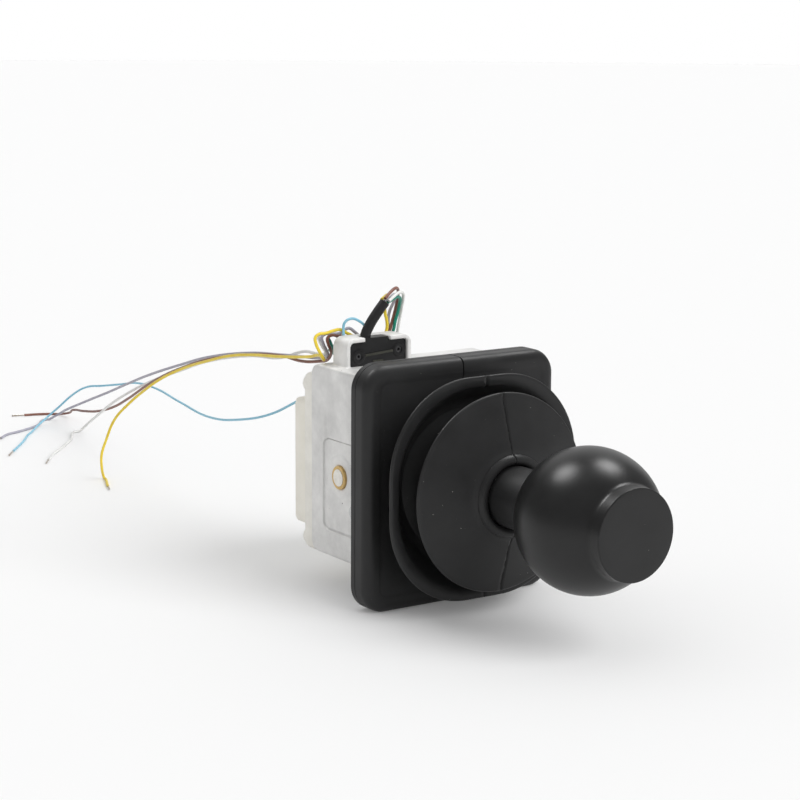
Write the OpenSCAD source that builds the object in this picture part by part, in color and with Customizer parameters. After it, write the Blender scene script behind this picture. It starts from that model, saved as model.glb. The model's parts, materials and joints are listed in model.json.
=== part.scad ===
// Panel joystick with a ball knob: a die-cast box holds a two-axis gimbal,
// a rubber boot covers the lever, and loose wires leave through a clamp hood.
// X to the right, -Y along the lever towards the knob, +Z up.
// The origin is on the lever's axis, in the back face of the mounting flange.

/* [Boot] */
// Width of the boot's flange
flange_w = 84.3; // [84:0.1:88]
// Height of the boot's flange
flange_h = 91; // [90.5:0.1:94]
// Thickness of the boot's flange
flange_t = 10; // [9:0.5:11]
// Corner radius of the flange
flange_corner = 9.5; // [9:0.1:10]
// Half width of the outer fold, a rounded square
fold_half = 41.1; // [39:0.1:41.5]
// Distance of the outer fold's lip in front of the panel face
fold_lip = 24.4; // [23:0.1:25]
// Radius of the inner fold, a round disc
disc_r = 36.4; // [35:0.1:37]
// Distance of the disc's rim in front of the panel face
disc_rim = 33.8; // [33:0.1:35]
// Outer radius of the ring that grips the lever
collar_r = 16.2; // [15:0.1:16.8]

/* [Lever] */
// Radius of the lever's plastic sleeve
sleeve_r = 11.2; // [10:0.1:11.2]
// Radius of the steel lever rod
rod_r = 5; // [4.5:0.1:5.5]
// Radius of the ball knob
ball_r = 25; // [24:0.5:27]
// Distance of the ball's centre in front of the panel face
ball_y = 83.8; // [80:0.1:90]
// Radius of the flat land on the ball
land_r = 15.7; // [14:0.1:17]
// Distance of the flat land in front of the panel face
land_y = 108.9; // [108:0.1:109.5]

/* [Housing] */
// Half width of the casting
box_half = 36; // [35.5:0.1:36]
// Height of the casting's top face above the lever's axis
box_top = 40.3; // [40:0.1:41]
// Depth of the casting's bottom face below the lever's axis
box_bottom = 31.4; // [31:0.1:32]
// Depth of the casting behind the panel face
box_depth = 37.3; // [37:0.1:38]
// Radius of the casting's rear edges at top and bottom
box_corner = 4.8; // [4:0.1:5]
// Wall thickness of the casting
box_wall = 3.8; // [3.5:0.1:4]
// Distance of the gimbal's centre behind the panel face
pivot_y = 17.8; // [17.8:0.1:18]

/* [Gimbal] */
// Radius of the pivot pins
pin_r = 3.175; // [3:0.025:3.2]
// Radius of the brass bushes
bush_r = 4.35; // [4.3:0.05:4.5]
// Radial play between a pin and its bush
play = 0.05; // [0.02:0.01:0.08]
// Radius of the cross pin
cross_r = 2.5; // [2.3:0.1:2.5]

/* [Mounting] */
// Distance between the mounting holes, across
hole_x = 75; // [74.8:0.1:75.2]
// Distance between the mounting holes, upwards
hole_z = 81; // [80.8:0.1:81.2]
// Core radius of the threaded mounting holes
hole_r = 1.25; // [1.2:0.05:1.3]

/* [Hidden] */

// True rounds everywhere.
$fn = 64;
eps = 0.01;

// The floor under the joystick when it lies on its side.
floor_z = -flange_h / 2;

// Casting details.
box_mid_z = (box_top - box_bottom) / 2;
boss_r = 7.5;
front_wall = 4;
side_edge = 1.5;
inner_gap = 5.6;
side_screw_y = 9.3;
side_screw_z = -11.6;
lever_hole_r = 18;
turret_r = 12;
turret_bore = 9.5;
turret_lid = 2.2;

// Wire clamp hood on top of the casting.
hood_x0 = -32;
hood_x1 = -3.5;
hood_y0 = 18.6;
hood_y1 = 28.3;
hood_top = 51;
hood_wall = 1.7;
notch_x0 = -23.9;
notch_x1 = -13;
clamp_face = 19.8;
clamp_at = [[-26.2, 44], [-8.6, 45.3]];

// Rear plate and box.
plate_y1 = 44.4;
plate_half = 34.5;
plate_z0 = -32;
plate_z1 = 36;
plate_corner = 3.6;
lug_y1 = 45.9;
lug_x = 30.8;
lug_z = [-28, 31];
lug_r = 3.7;
rear_half = 31;
rear_z0 = -25;
rear_z1 = 23.6;
rear_y1 = 57;
rear_wall = 1.8;
board_y = plate_y1 + 1.2;
board_hole_x = 24;
board_hole_z = [-17, 15];

// Mounting plate.
seat_t = 4;
seat_w = flange_w - 3.9;
seat_h = flange_h - 4;
seat_corner = 4.5;
seat_hole_r = 20;
seat_screw_x = 27;
seat_screw_z = [-24, 33];

// Gimbal.
spider_x = 7.5;
spider_yz = 5;
yoke_in = 9.6;
yoke_out = 13.2;
yoke_half = 5;
neck_r = 7.5;
neck_y = -6;
spigot_r = 2.5;
bail_in = 13.9;
bail_out = 16.4;
shaft_r = 3;
shaft_bush_r = 4.2;

// Springs.
spring_r = 5.9;
spring_wire = 1.2;

// Wires: radius, and routes of round numbers from the sleeve's mouth to each bare end.
wire_r = 0.6;
thin_r = 0.5;
sleeve_path = [[-21.6, 22.4, 47.3], [-21.6, 22.4, 51.2], [-20.2, 21.9, 54.8], [-17.5, 20.9, 59.4], [-14.6, 20, 63.5]];
sleeve_out = 1.95;

yellow_path = [[-15.2, 21.3, 64.3], [-12.3, 23.4, 64.9], [-9.7, 26, 64.9], [-8.3, 28.6, 63],
    [-7.9, 30.2, 60.2], [-7.2, 31, 57.4], [-6.5, 31, 54.6], [-6.3, 31, 52.2], [-7, 31, 49.7],
    [-9.7, 30.6, 47], [-14.8, 30.3, 46.3], [-19.8, 30.2, 48.7], [-22.5, 30.2, 50.2],
    [-25.1, 30.2, 51.5], [-27.5, 30.6, 52.8], [-29.6, 31.4, 52.5], [-32.7, 32, 51.7],
    [-35.5, 32.4, 51.5], [-37.1, 32.4, 50.3], [-37.1, 32, 48.2], [-35.8, 31.6, 45], [-33.7, 32.2, 42.2],
    [-31.4, 36, 41.1], [-28.5, 43, 41.4], [-26, 55, 39], [-21.5, 84, 34.5], [-19, 112, 31],
    [-18, 130, 28], [-17.5, 148, 23.5], [-15.5, 178, 15], [-16, 196, 8], [-16.5, 209, 1.5],
    [-18.5, 222, -7], [-20.5, 232, -15.5], [-21.5, 239, -26], [-23, 241, -33.5], [-23, 241, -39],
    [-20.5, 244, -44.8], [-26.5, 228, -44.8]];
brown_path = [[-14.7, 19.7, 64.8], [-11.1, 21.2, 66.9], [-7.7, 23.4, 67.7], [-4.6, 26.4, 66.6],
    [-2.4, 29.6, 64], [-1.6, 31.6, 60.7], [-1.9, 32.6, 56.8], [-3, 32.8, 53], [-4.1, 32.6, 50.1],
    [-5.9, 32.2, 47.2], [-9.7, 32, 45.3], [-16, 32, 45.4], [-21.3, 32, 48.2], [-24.8, 32, 49.6],
    [-27.8, 32.2, 50.3], [-29.9, 33, 50.5], [-31, 33.6, 49.5], [-30.9, 34, 47.4], [-29.8, 35, 45.5],
    [-28.7, 38, 43.8], [-26.4, 46, 42.4], [-23.6, 60, 39.6], [-18.5, 89, 34], [-15.5, 118, 30],
    [-13, 156, 22.5], [-9.5, 190, 13], [-6, 215, 5], [-2.5, 236, -2.5], [3, 265, -13.5],
    [8.5, 292, -22.5], [12, 315, -28.5], [16, 340, -33], [21, 362, -36.5], [27.5, 395, -44.8],
    [19.5, 400, -44.8], [11.5, 402, -44.8]];
grey_path = [[-13.8, 21.6, 63.4], [-10.1, 23, 64.4], [-6.8, 25.4, 65], [-4.6, 28.2, 63.2],
    [-4.2, 30.4, 60.6], [-3.7, 33.4, 57.2], [-3.7, 34.2, 53.6], [-3.7, 34.2, 50.6], [-4.6, 34, 47.6],
    [-7.6, 33.8, 45.2], [-13.1, 33.6, 45.7], [-16.8, 33.4, 48.7], [-19.5, 33.4, 51.1],
    [-21.5, 33.8, 52.4], [-23.1, 34.2, 51.9], [-25.1, 34.8, 50.7], [-28.3, 35.2, 50.6],
    [-30.8, 35.4, 50.8], [-32.3, 35.6, 49.7], [-31.6, 36.2, 47.6], [-29.6, 38.4, 45.7], [-26.4, 44, 45],
    [-23, 56, 42.5], [-19.4, 70, 38.5], [-16, 93, 33.5], [-12, 124, 29.5], [-7.5, 166, 21.5],
    [-1.5, 204, 12], [3, 242, 1.5], [8, 274, -8], [11, 302, -17], [12, 322, -23.5], [12.5, 337, -28.5],
    [13.5, 355, -34.5], [18, 385, -44.8], [4.5, 372, -44.8], [-8, 364, -44.8], [-16.5, 360, -44.8],
    [-23.5, 353, -44.8]];
white_path = [[-13.4, 19.2, 63.8], [-10.6, 20, 65.3], [-7.1, 21.6, 66.3], [-3.6, 24.4, 65.3],
    [-1.1, 28, 62.6], [0.3, 31, 59.1], [0.9, 33, 55], [0.7, 33.8, 51.4], [0.7, 34.8, 48.6],
    [-1.3, 35.8, 45.6], [-5.7, 36.6, 43.9], [-11.5, 36.8, 43.6], [-16.9, 36.8, 46], [-21.3, 36.8, 48.8],
    [-24.9, 36.8, 50.2], [-28.6, 36.8, 50.9], [-31.3, 37, 51], [-32.7, 37.4, 49.8], [-31.5, 38.8, 47.9],
    [-26.6, 43, 48], [-22.4, 53, 47], [-17, 69, 43], [-14, 97, 31.5], [-9.5, 128, 27.5],
    [-5.5, 170, 19], [-0.5, 206, 9], [2, 240, -1.5], [3.5, 266, -11], [5.5, 287, -19.5],
    [8, 305, -27.5], [10.5, 322, -35], [17.5, 348, -44.8], [3.5, 330, -44.8], [-8.5, 315, -44.8],
    [-18, 304, -44.8], [-25.5, 293, -44.8]];
green_path = [[-13, 20.6, 63], [-9.9, 21.6, 64], [-6.3, 24, 64.3], [-3.3, 26.8, 63], [-1.8, 29.4, 60.6],
    [-1.7, 30.6, 57.4], [-2.3, 31.4, 53.9], [-2.6, 32.2, 50.4], [-3.3, 33.4, 47.2], [-5.8, 35.2, 43.6],
    [-9.9, 37.2, 41.5], [-15.3, 38.6, 42.7], [-19.4, 39.2, 45.5], [-22.6, 39.4, 48.3],
    [-25.3, 39.4, 49.6], [-26.9, 39.4, 48.8], [-26.1, 40.2, 46.7], [-24.3, 42.4, 44.7], [-20.5, 49, 42],
    [-16, 54, 40], [-6, 62, 32], [-2, 70, 14], [-2, 78, -6], [2, 87, -26], [8, 99, -40],
    [18, 113, -44.8], [31, 132, -44.8], [46, 150, -44.8], [60, 170, -44.8], [70, 186, -44.8],
    [82, 198, -44.8]];
blue_path = [[-19.6, 24, 53.4], [-22.4, 25.2, 56.2], [-25, 26.6, 57.2], [-26.8, 28.2, 55.8],
    [-27, 29, 53], [-26.2, 29, 48], [-24, 29, 43.8], [-20, 30, 41.6], [-17, 33, 41.4],
    [-15.5, 37, 41.4], [-14.6, 44, 40.2], [-12.5, 52, 36], [-13, 64, 27], [-13.5, 75, 20],
    [-13.5, 85, 15.5], [-11, 110, 6], [-8, 140, -1.5], [0, 180, -8], [12, 230, -10.5], [20.5, 272, -11],
    [24, 298, -13], [24.5, 316, -16.5], [22.5, 332, -19.5], [20, 345, -22], [17.5, 354, -26.5],
    [13, 364, -35], [9, 370, -41], [-4, 359, -44.8], [-18.5, 338, -44.8], [-31, 321, -44.8]];

function unit(v) = v / norm(v);
function last(list) = list[len(list) - 1];

// Directions of a route at its points, and two normals to each.
function heading(p, i) = unit(p[min(i + 1, len(p) - 1)] - p[max(i - 1, 0)]);
function side(d) = unit(cross(d, abs(d[2]) > 0.8 ? [0, 1, 0] : [0, 0, 1]));

// The points of one ring, and of a tube that follows a route.
function ring(c, d, s, r, n) = [for (k = [0:n - 1])
    c + r * cos(360 * k / n) * s + r * sin(360 * k / n) * cross(d, s)];
function carried(p, i) = i == 0
    ? side(heading(p, 0))
    : let (d = heading(p, i), s = carried(p, i - 1)) unit(s - (s * d) * d);
function tube_points(p, r, n) = [for (i = [0:len(p) - 1]) each ring(p[i], heading(p, i), carried(p, i), r, n)];
function skin_faces(rows, n) = concat(
    [for (i = [0:rows - 2], k = [0:n - 1])
        [i * n + k, (i + 1) * n + k, (i + 1) * n + (k + 1) % n, i * n + (k + 1) % n]],
    [[for (k = [0:n - 1]) k]],
    [[for (k = [n - 1:-1:0]) (rows - 1) * n + k]]);

module tube_along(p, r, n = 8) {
    polyhedron(tube_points(p, r, n), skin_faces(len(p), n), convexity = 10);
}

// Rods and bars along the three axes.
module rod_x(r, x0, x1) {
    translate([x0, 0, 0]) rotate([0, 90, 0]) cylinder(r = r, h = x1 - x0);
}

module rod_y(r, y0, y1) {
    translate([0, y0, 0]) rotate([-90, 0, 0]) cylinder(r = r, h = y1 - y0);
}

module rod_z(r, z0, z1) {
    translate([0, 0, z0]) cylinder(r = r, h = z1 - z0);
}

module block(x0, x1, y0, y1, z0, z1) {
    translate([x0, y0, z0]) cube([x1 - x0, y1 - y0, z1 - z0]);
}

module at_pivot() {
    translate([0, pivot_y, 0]) children();
}

// A rectangle with round corners, and slabs of it across the Y and X axes.
module round_rect(w, h, r) {
    square([w - 2 * r, h], center = true);
    square([w, h - 2 * r], center = true);
    for (sx = [-1, 1], sy = [-1, 1]) translate([sx * (w / 2 - r), sy * (h / 2 - r)]) circle(r);
}

module slab_y(w, h, r, y0, y1) {
    translate([0, y1, 0]) rotate([90, 0, 0]) linear_extrude(y1 - y0) round_rect(w, h, r);
}

module slab_x(d, h, r, x0, x1) {
    translate([x0, 0, 0]) rotate([90, 0, 90]) linear_extrude(x1 - x0) round_rect(d, h, r);
}

// A block whose edges along X are round with radius r, and whose edges along Y with radius e.
module cast_block(half, y0, y1, z0, z1, r, e) {
    intersection() {
        translate([0, y1 - (y1 - y0 + 20) / 2, (z0 + z1) / 2]) slab_x(y1 - y0 + 20, z1 - z0, r, -half, half);
        translate([0, 0, (z0 + z1) / 2]) slab_y(2 * half, z1 - z0, e, y0, y1);
    }
}

// A revolved profile whose axis is the lever's: x is the radius, y the distance in front.
module turned(profile) {
    rotate([90, 0, 0]) rotate_extrude($fn = 96) polygon(profile);
}

module four(x, z_list) {
    for (sx = [-1, 1], z = z_list) translate([sx * x, 0, z]) children();
}

// ---------------------------------------------------------------- housing

module hood_outline(x0, x1, z1, r) {
    translate([x0, box_top - 1]) square([x1 - x0, z1 - r - box_top + 1]);
    translate([x0 + r, z1 - r - eps]) square([x1 - x0 - 2 * r, r + eps]);
    for (x = [x0 + r, x1 - r]) translate([x, z1 - r]) circle(r);
}

module hood_shell() {
    difference() {
        translate([0, hood_y1, 0]) rotate([90, 0, 0]) linear_extrude(hood_y1 - hood_y0)
            hood_outline(hood_x0, hood_x1, hood_top, 3.6);
        translate([0, hood_y1 + 1, 0]) rotate([90, 0, 0]) linear_extrude(hood_y1 - hood_y0 + 2)
            intersection() {
                hood_outline(hood_x0 + hood_wall, hood_x1 - hood_wall, hood_top - hood_wall, 1.4);
                translate([hood_x0, box_top]) square([40, 20]);
            }
        block(notch_x0, notch_x1, hood_y0 - 1, hood_y0 + 6.4, hood_top - hood_wall - 1, hood_top + 1);
    }
}

// The shallow panel round the pivot on each flank, with a round pad at the bush.
module flank_panel() {
    recess = 0.8;
    difference() {
        translate([0, 16.9, -3.9]) slab_x(24, 34.4, 3.2, -box_half - 1, -box_half + recess);
        at_pivot() rod_x(8, -box_half - 2, 0);
    }
    at_pivot() rod_x(8, -box_half - 1, -box_half + recess / 2);
    translate([-box_half + 0.6, 6, 13]) rotate([0, -2.4, 0]) translate([-4, 0, 0]) cube([4, 21.6, 16]);
}

module housing() {
    color([0.77, 0.765, 0.745]) difference() {
        union() {
            cast_block(box_half, 0, box_depth, -box_bottom, box_top, box_corner, side_edge);
            hood_shell();
            at_pivot() rod_z(turret_r, floor_z + turret_lid, -box_bottom + 1);
        }
        flank_panel();
        mirror([1, 0, 0]) flank_panel();
        difference() {
            translate([0, 0, box_mid_z]) slab_y(2 * (box_half - box_wall), box_top + box_bottom - 2 * inner_gap, 3,
                front_wall, box_depth + 1);
            at_pivot() {
                rod_x(boss_r, -box_half, -28.6);
                rod_x(boss_r, 28.6, box_half);
                rod_z(7, 29, box_top);
                rod_z(7, -box_bottom, -24);
            }
            four(lug_x, lug_z) rod_y(lug_r, 20, box_depth + 2);
        }
        rod_y(lever_hole_r, -1, front_wall + 1);
        at_pivot() {
            rod_x(bush_r, -box_half - 1, box_half + 1);
            rod_z(shaft_bush_r, -33 - eps, 37);
            rod_z(turret_bore, floor_z, -33);
            for (a = [90, 210, 330]) rotate([0, 0, a]) translate([10.75, 0, 0]) rod_z(0.5, floor_z, -38);
        }
        four(seat_screw_x, seat_screw_z) rod_y(1.5, -1, front_wall + 1);
        four(lug_x, lug_z) rod_y(1.5, 24, box_depth + 1);
        translate([-18, 24.2, 0]) rod_z(2.4, box_top - 5, box_top + eps);
        translate([0, side_screw_y, side_screw_z]) {
            rod_x(2.7, -box_half - 1, -box_half + 1.8);
            rod_x(1.5, -box_half, -box_half + 3.6);
        }
    }
}

module turret_cap() {
    color([0.12, 0.12, 0.13]) at_pivot() difference() {
        union() {
            rod_z(turret_r, floor_z, floor_z + turret_lid);
            rod_z(turret_bore - 0.1, floor_z + 1, floor_z + turret_lid + 1.2);
        }
        for (a = [90, 210, 330]) rotate([0, 0, a]) translate([10.75, 0, 0]) {
            rod_z(0.5, floor_z - 1, floor_z + 5);
            rod_z(1, floor_z - 1, floor_z + 0.8);
        }
    }
}

module turret_screws() {
    color([0.7, 0.7, 0.72]) at_pivot() for (a = [90, 210, 330]) rotate([0, 0, a]) translate([10.75, 0, 0]) {
        rod_z(0.5, floor_z + 0.3, floor_z + 6);
        difference() {
            rod_z(1, floor_z + 0.2, floor_z + 0.8);
            block(-0.7, 0.7, -0.12, 0.12, floor_z, floor_z + 0.45);
        }
    }
}

module sensor_z_board() {
    color([0.1, 0.35, 0.2]) at_pivot() {
        rod_z(8.4, floor_z + 4, floor_z + 5);
        block(-2.5, 2.5, -2, 2, floor_z + 5 - eps, floor_z + 6.3);
    }
}

module sensor_x_board() {
    color([0.1, 0.35, 0.2]) {
        block(11.2, 15.8, pivot_y + 8, pivot_y + 9, -6, 6);
        block(12, 15, pivot_y + 6.6, pivot_y + 8 + eps, -2, 2);
        block(12.2, 14.8, pivot_y + 9 - eps, box_depth, -5, -3);
        block(12.2, 14.8, pivot_y + 9 - eps, box_depth, 3, 5);
    }
}

module side_screw() {
    color([0.8, 0.7, 0.42]) translate([0, side_screw_y, side_screw_z]) difference() {
        union() {
            rod_x(2.35, -box_half + 0.4, -box_half + 1.8);
            rod_x(1.5, -box_half + 1, -box_half + 3.6);
        }
        rod_x(1.1, -box_half, -box_half + 1.3, $fn = 6);
    }
}

module pivot_bushes() {
    color([0.72, 0.58, 0.32]) at_pivot() for (side = [0, 1]) mirror([side, 0, 0]) difference() {
        rod_x(bush_r, -box_half - 0.3, -28.6);
        rod_x(pin_r + play, -box_half - 1, -28);
    }
}

module bail_bushes() {
    color([0.72, 0.58, 0.32]) at_pivot() difference() {
        union() {
            rod_z(shaft_bush_r, 29, 37);
            rod_z(shaft_bush_r, -33, -24);
        }
        rod_z(shaft_r + play, -40, 40);
    }
}

module mounting_plate() {
    color([0.72, 0.73, 0.74]) difference() {
        slab_y(seat_w, seat_h, seat_corner, -seat_t, 0);
        rod_y(seat_hole_r, -seat_t - 1, 1);
        four(hole_x / 2, [-hole_z / 2, hole_z / 2]) rod_y(hole_r, -seat_t - 1, 1);
        four(seat_screw_x, seat_screw_z) {
            rod_y(1.5, -seat_t - 1, 1);
            rod_y(2.9, -seat_t - 1, -seat_t + 1.8);
        }
    }
}

module plate_screws() {
    color([0.55, 0.55, 0.57]) four(seat_screw_x, seat_screw_z) difference() {
        union() {
            rod_y(1.5, -seat_t + 1, front_wall - 0.2);
            rod_y(2.9, -seat_t + 0.1, -seat_t + 1.8);
        }
        rod_y(1.3, -seat_t, -seat_t + 1.2, $fn = 6);
    }
}

// ------------------------------------------------------------- rear cover

module rear_plate() {
    color([0.85, 0.84, 0.79]) difference() {
        union() {
            cast_block(plate_half, box_depth, plate_y1, plate_z0, plate_z1, plate_corner, side_edge);
            four(lug_x, lug_z) rod_y(lug_r, box_depth, lug_y1);
            four(board_hole_x, board_hole_z) rod_y(2.4, plate_y1 - 1, board_y);
        }
        four(lug_x, lug_z) {
            rod_y(1.5, box_depth - 1, lug_y1 + 1);
            rod_y(2.4, lug_y1 - 1.6, lug_y1 + 1);
        }
        four(board_hole_x, board_hole_z) rod_y(1, plate_y1 - 3, board_y + 1);
        block(-20, 20, box_depth - 1, plate_y1 + 1, -13, 11);
    }
}

module rear_plate_screws() {
    color([0.45, 0.45, 0.47]) four(lug_x, lug_z) difference() {
        union() {
            rod_y(1.5, 28, lug_y1 - 1);
            rod_y(2.4, lug_y1 - 1.6, lug_y1 - 0.1);
        }
        rod_y(1.1, lug_y1 - 1.1, lug_y1 + 1, $fn = 6);
    }
}

module rear_box() {
    mid = (rear_z0 + rear_z1) / 2;
    h = rear_z1 - rear_z0;
    color([0.92, 0.905, 0.86]) difference() {
        translate([0, 0, mid]) slab_y(2 * rear_half, h, 1.8, plate_y1, rear_y1);
        translate([0, 0, mid]) slab_y(2 * (rear_half - rear_wall), h - 2 * rear_wall, 0.8, plate_y1 - 1, rear_y1 - rear_wall);
        four(lug_x, [lug_z[0]]) rod_y(lug_r + 0.15, plate_y1 - 1, lug_y1 + 0.15);
    }
}

module circuit_board() {
    color([0.08, 0.36, 0.2]) difference() {
        block(-27, 27, board_y, board_y + 1.6, -20, 18);
        four(board_hole_x, board_hole_z) rod_y(1.2, board_y - 1, board_y + 3);
    }
}

module board_parts() {
    top = board_y + 1.6;
    color([0.1, 0.1, 0.11]) {
        block(-6, 6, top, top + 2, -8, 4);
        block(10, 16, top, top + 1.6, -6, -1);
        block(-18, -12, top, top + 1.6, 2, 7);
        for (x = [-18, -10, 8, 18]) translate([x, 0, -15]) rod_y(2.4, top, top + 5.4);
        for (x = [-20:4:20]) translate([x, 0, 10]) rod_y(0.6, top, top + 2.4);
    }
}

// ------------------------------------------------------------- wire clamp

module clamp_block() {
    gap = 0.1;
    x0 = hood_x0 + hood_wall + gap;
    x1 = hood_x1 - hood_wall - gap;
    color([0.09, 0.09, 0.1]) difference() {
        union() {
            translate([0, hood_y1 - 0.6, 0]) rotate([90, 0, 0]) linear_extrude(hood_y1 - 0.6 - clamp_face)
                intersection() {
                    hood_outline(x0, x1, hood_top - hood_wall - gap, 1.3);
                    translate([hood_x0, box_top]) square([40, 20]);
                }
            block(notch_x0 + gap, notch_x1 - gap, clamp_face, hood_y0 + 6.3, hood_top - 4, hood_top - 0.4);
            for (c = clamp_at) translate([c[0], 0, c[1]]) rod_y(2.6, clamp_face - 0.6, clamp_face + 1);
        }
        for (c = clamp_at) translate([c[0], 0, c[1]]) rod_y(1.2, clamp_face - 2, hood_y1);
        translate([sleeve_path[0][0], sleeve_path[0][1], 0]) rod_z(sleeve_out, 47.2, hood_top + 2);
        translate([-18, 24.2, 0]) rod_z(2.2, box_top - 1, 47);
    }
}

module clamp_bar() {
    color([0.2, 0.2, 0.2]) {
        translate([clamp_at[0][0], 0, clamp_at[0][1]]) rotate([0, -4.2, 0])
            block(2.7, 14.9, clamp_face - 0.5, clamp_face, -0.4, 0.5);
        block(-20, -15.6, clamp_face - 0.4, clamp_face, box_top + 0.4, box_top + 1.9);
    }
}

module clamp_screws() {
    color([0.16, 0.16, 0.17]) for (c = clamp_at) translate([c[0], 0, c[1]]) difference() {
        rod_y(1.2, clamp_face, hood_y1 - 1);
        rod_y(0.7, clamp_face - 1, clamp_face + 1.4, $fn = 6);
    }
}

module wire_sleeve() {
    color([0.07, 0.07, 0.075]) tube_along(sleeve_path, sleeve_out - 0.02, 16);
}

module wire_yellow() {
    color([0.93, 0.8, 0.2]) tube_along(yellow_path, wire_r);
}

module wire_brown() {
    color([0.45, 0.28, 0.22]) tube_along(brown_path, wire_r);
}

module wire_grey() {
    color([0.62, 0.6, 0.68]) tube_along(grey_path, wire_r);
}

module wire_white() {
    color([0.92, 0.92, 0.9]) tube_along(white_path, wire_r);
}

module wire_green() {
    color([0.1, 0.5, 0.4]) tube_along(green_path, wire_r);
}

module wire_blue() {
    color([0.5, 0.78, 0.87]) tube_along(blue_path, thin_r);
}

// The bare, tinned strands beyond each wire's insulation.
module bare_end(path, long) {
    tip = last(path);
    away = unit(tip - path[len(path) - 2]);
    tube_along([tip, tip + away * long / 2, tip + away * long], 0.3);
}

module wire_tips() {
    color([0.75, 0.72, 0.66]) {
        for (path = [yellow_path, brown_path, grey_path, white_path, green_path]) bare_end(path, 7);
        bare_end(blue_path, 10);
    }
}

// ------------------------------------------------------------------- boot

// One ring of a rectangle with round corners: half sizes a and b, corner radius r, distance y in front.
function corner_ring(a, b, r, y) = [for (q = [0:3], j = [0:8])
    let (t = 90 * q + 90 * j / 8, cx = (q == 0 || q == 3 ? 1 : -1) * (a - r), cz = (q < 2 ? 1 : -1) * (b - r))
    [cx + r * cos(t), -y, cz + r * sin(t)]];

// Distance in front and inset of each ring of the flange, from its back to its rounded front edge.
flange_rows = [[0, 0], [flange_t - 4.2, 0], [flange_t - 2.6, 0.4], [flange_t - 1.2, 1.4],
    [flange_t - 0.4, 2.6], [flange_t, 4]];

module boot_flange() {
    points = [for (row = flange_rows)
        each corner_ring(flange_w / 2 - row[1], flange_h / 2 - row[1], flange_corner - row[1] / 2, row[0])];
    color([0.15, 0.15, 0.155]) difference() {
        polyhedron(points, skin_faces(len(flange_rows), 36), convexity = 4);
        slab_y(seat_w, seat_h, seat_corner, -seat_t, 1);
        rod_y(30, -flange_t - 1, 0);
    }
}

// A rounded square: half width h, corner radius r, at the angle a.
function square_ray(h, r, a) =
    let (c = abs(cos(a)), s = abs(sin(a)), m = max(c, s), k = min(c, s), f = h - r)
    h * k / m <= f ? h / m : f * (m + k) + sqrt(max(0, r * r - f * f * (m - k) * (m - k)));
function fold_ring(h, r, y, n) = [for (k = [0:n - 1])
    let (a = 360 * k / n, d = square_ray(h, r, a)) [d * cos(a), -y, d * sin(a)]];

// Half width, corner radius and distance in front, down the outside and back up the inside.
fold_rows = [[33, 33, 10], [33.6, 33.2, 13], [36.6, 33.2, 18], [fold_half - 0.7, 33.7, fold_lip - 2],
    [fold_half, 33.6, fold_lip - 1.1], [fold_half - 0.2, 33.4, fold_lip - 0.3], [fold_half - 0.8, 33.1, fold_lip],
    [fold_half - 3.4, 32.2, fold_lip - 0.5], [35.2, 32, 20.5], [32.2, 31.2, 15], [30.8, 30.6, 12], [30, 30, 10]];

module boot_outer_fold() {
    sides = 64;
    rows = len(fold_rows);
    points = [for (row = fold_rows) each fold_ring(row[0], row[1], row[2], sides)];
    faces = [for (i = [0:rows - 1], k = [0:sides - 1])
        [i * sides + k, i * sides + (k + 1) % sides,
            ((i + 1) % rows) * sides + (k + 1) % sides, ((i + 1) % rows) * sides + k]];
    color([0.15, 0.15, 0.155]) polyhedron(points, faces, convexity = 6);
}

module boot_inner_fold() {
    color([0.15, 0.15, 0.155]) turned([[27.6, 10.8], [24.6, 13.2], [22.4, 18], [22.6, 22.5], [25.6, 26.8],
        [31, 29.9], [34.8, 31.9], [disc_r - 0.1, disc_rim - 0.9], [disc_r, disc_rim - 0.3],
        [disc_r - 0.8, disc_rim + 0.4], [28, 36.2], [17.2, 39.6], [17.2, 37.6], [27, 34.4], [31.6, 32.6],
        [27, 30.2], [22.6, 27.4], [20.9, 23.6], [20.8, 18], [22.6, 12.8], [25.6, 10]]);
}

module boot_collar() {
    color([0.15, 0.15, 0.155]) turned([[sleeve_r, 36.5], [14, 36.5], [collar_r, 37.6], [collar_r, 39.6],
        [collar_r - 0.7, 41.2], [collar_r - 2, 42.3], [collar_r - 3.4, 42.6], [sleeve_r + 0.6, 42.2], [sleeve_r, 41.6]]);
}

// ------------------------------------------------------------------ lever

module spider() {
    color([0.6, 0.6, 0.62]) at_pivot() difference() {
        cube([2 * spider_x, 2 * spider_yz, 2 * spider_yz], center = true);
        rod_x(pin_r, -10, 10);
        rod_z(cross_r + play, -10, 10);
    }
}

module pivot_pins() {
    color([0.82, 0.81, 0.78]) at_pivot() for (side = [0, 1]) mirror([side, 0, 0]) rod_x(pin_r, -box_half - 0.5, -3);
}

module magnet_x() {
    color([0.35, 0.35, 0.37]) at_pivot() difference() {
        rod_x(6, 12, 15);
        rod_x(pin_r, 11, 16);
    }
}

module yoke() {
    color([0.66, 0.66, 0.68]) at_pivot() difference() {
        union() {
            rod_x(yoke_out, -yoke_half, yoke_half);
            rod_y(neck_r, neck_y - pivot_y, -10.6);
            rod_y(spigot_r, 11, bail_out);
        }
        rod_x(yoke_in, -yoke_half - 1, yoke_half + 1);
        rod_z(cross_r, -yoke_out - 1, yoke_out + 1);
        rod_y(rod_r, neck_y - pivot_y - 1, -10.8);
    }
}

module cross_pin() {
    color([0.8, 0.8, 0.82]) at_pivot() rod_z(cross_r, -yoke_out + 0.7, yoke_out - 0.7);
}

module lever_rod() {
    color([0.75, 0.75, 0.77]) rod_y(rod_r, -79, pivot_y - 10.8);
}

module lever_sleeve() {
    color([0.13, 0.13, 0.135]) difference() {
        rod_y(sleeve_r, -63.5, -30);
        rod_y(rod_r, -64, -29);
    }
}

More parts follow.
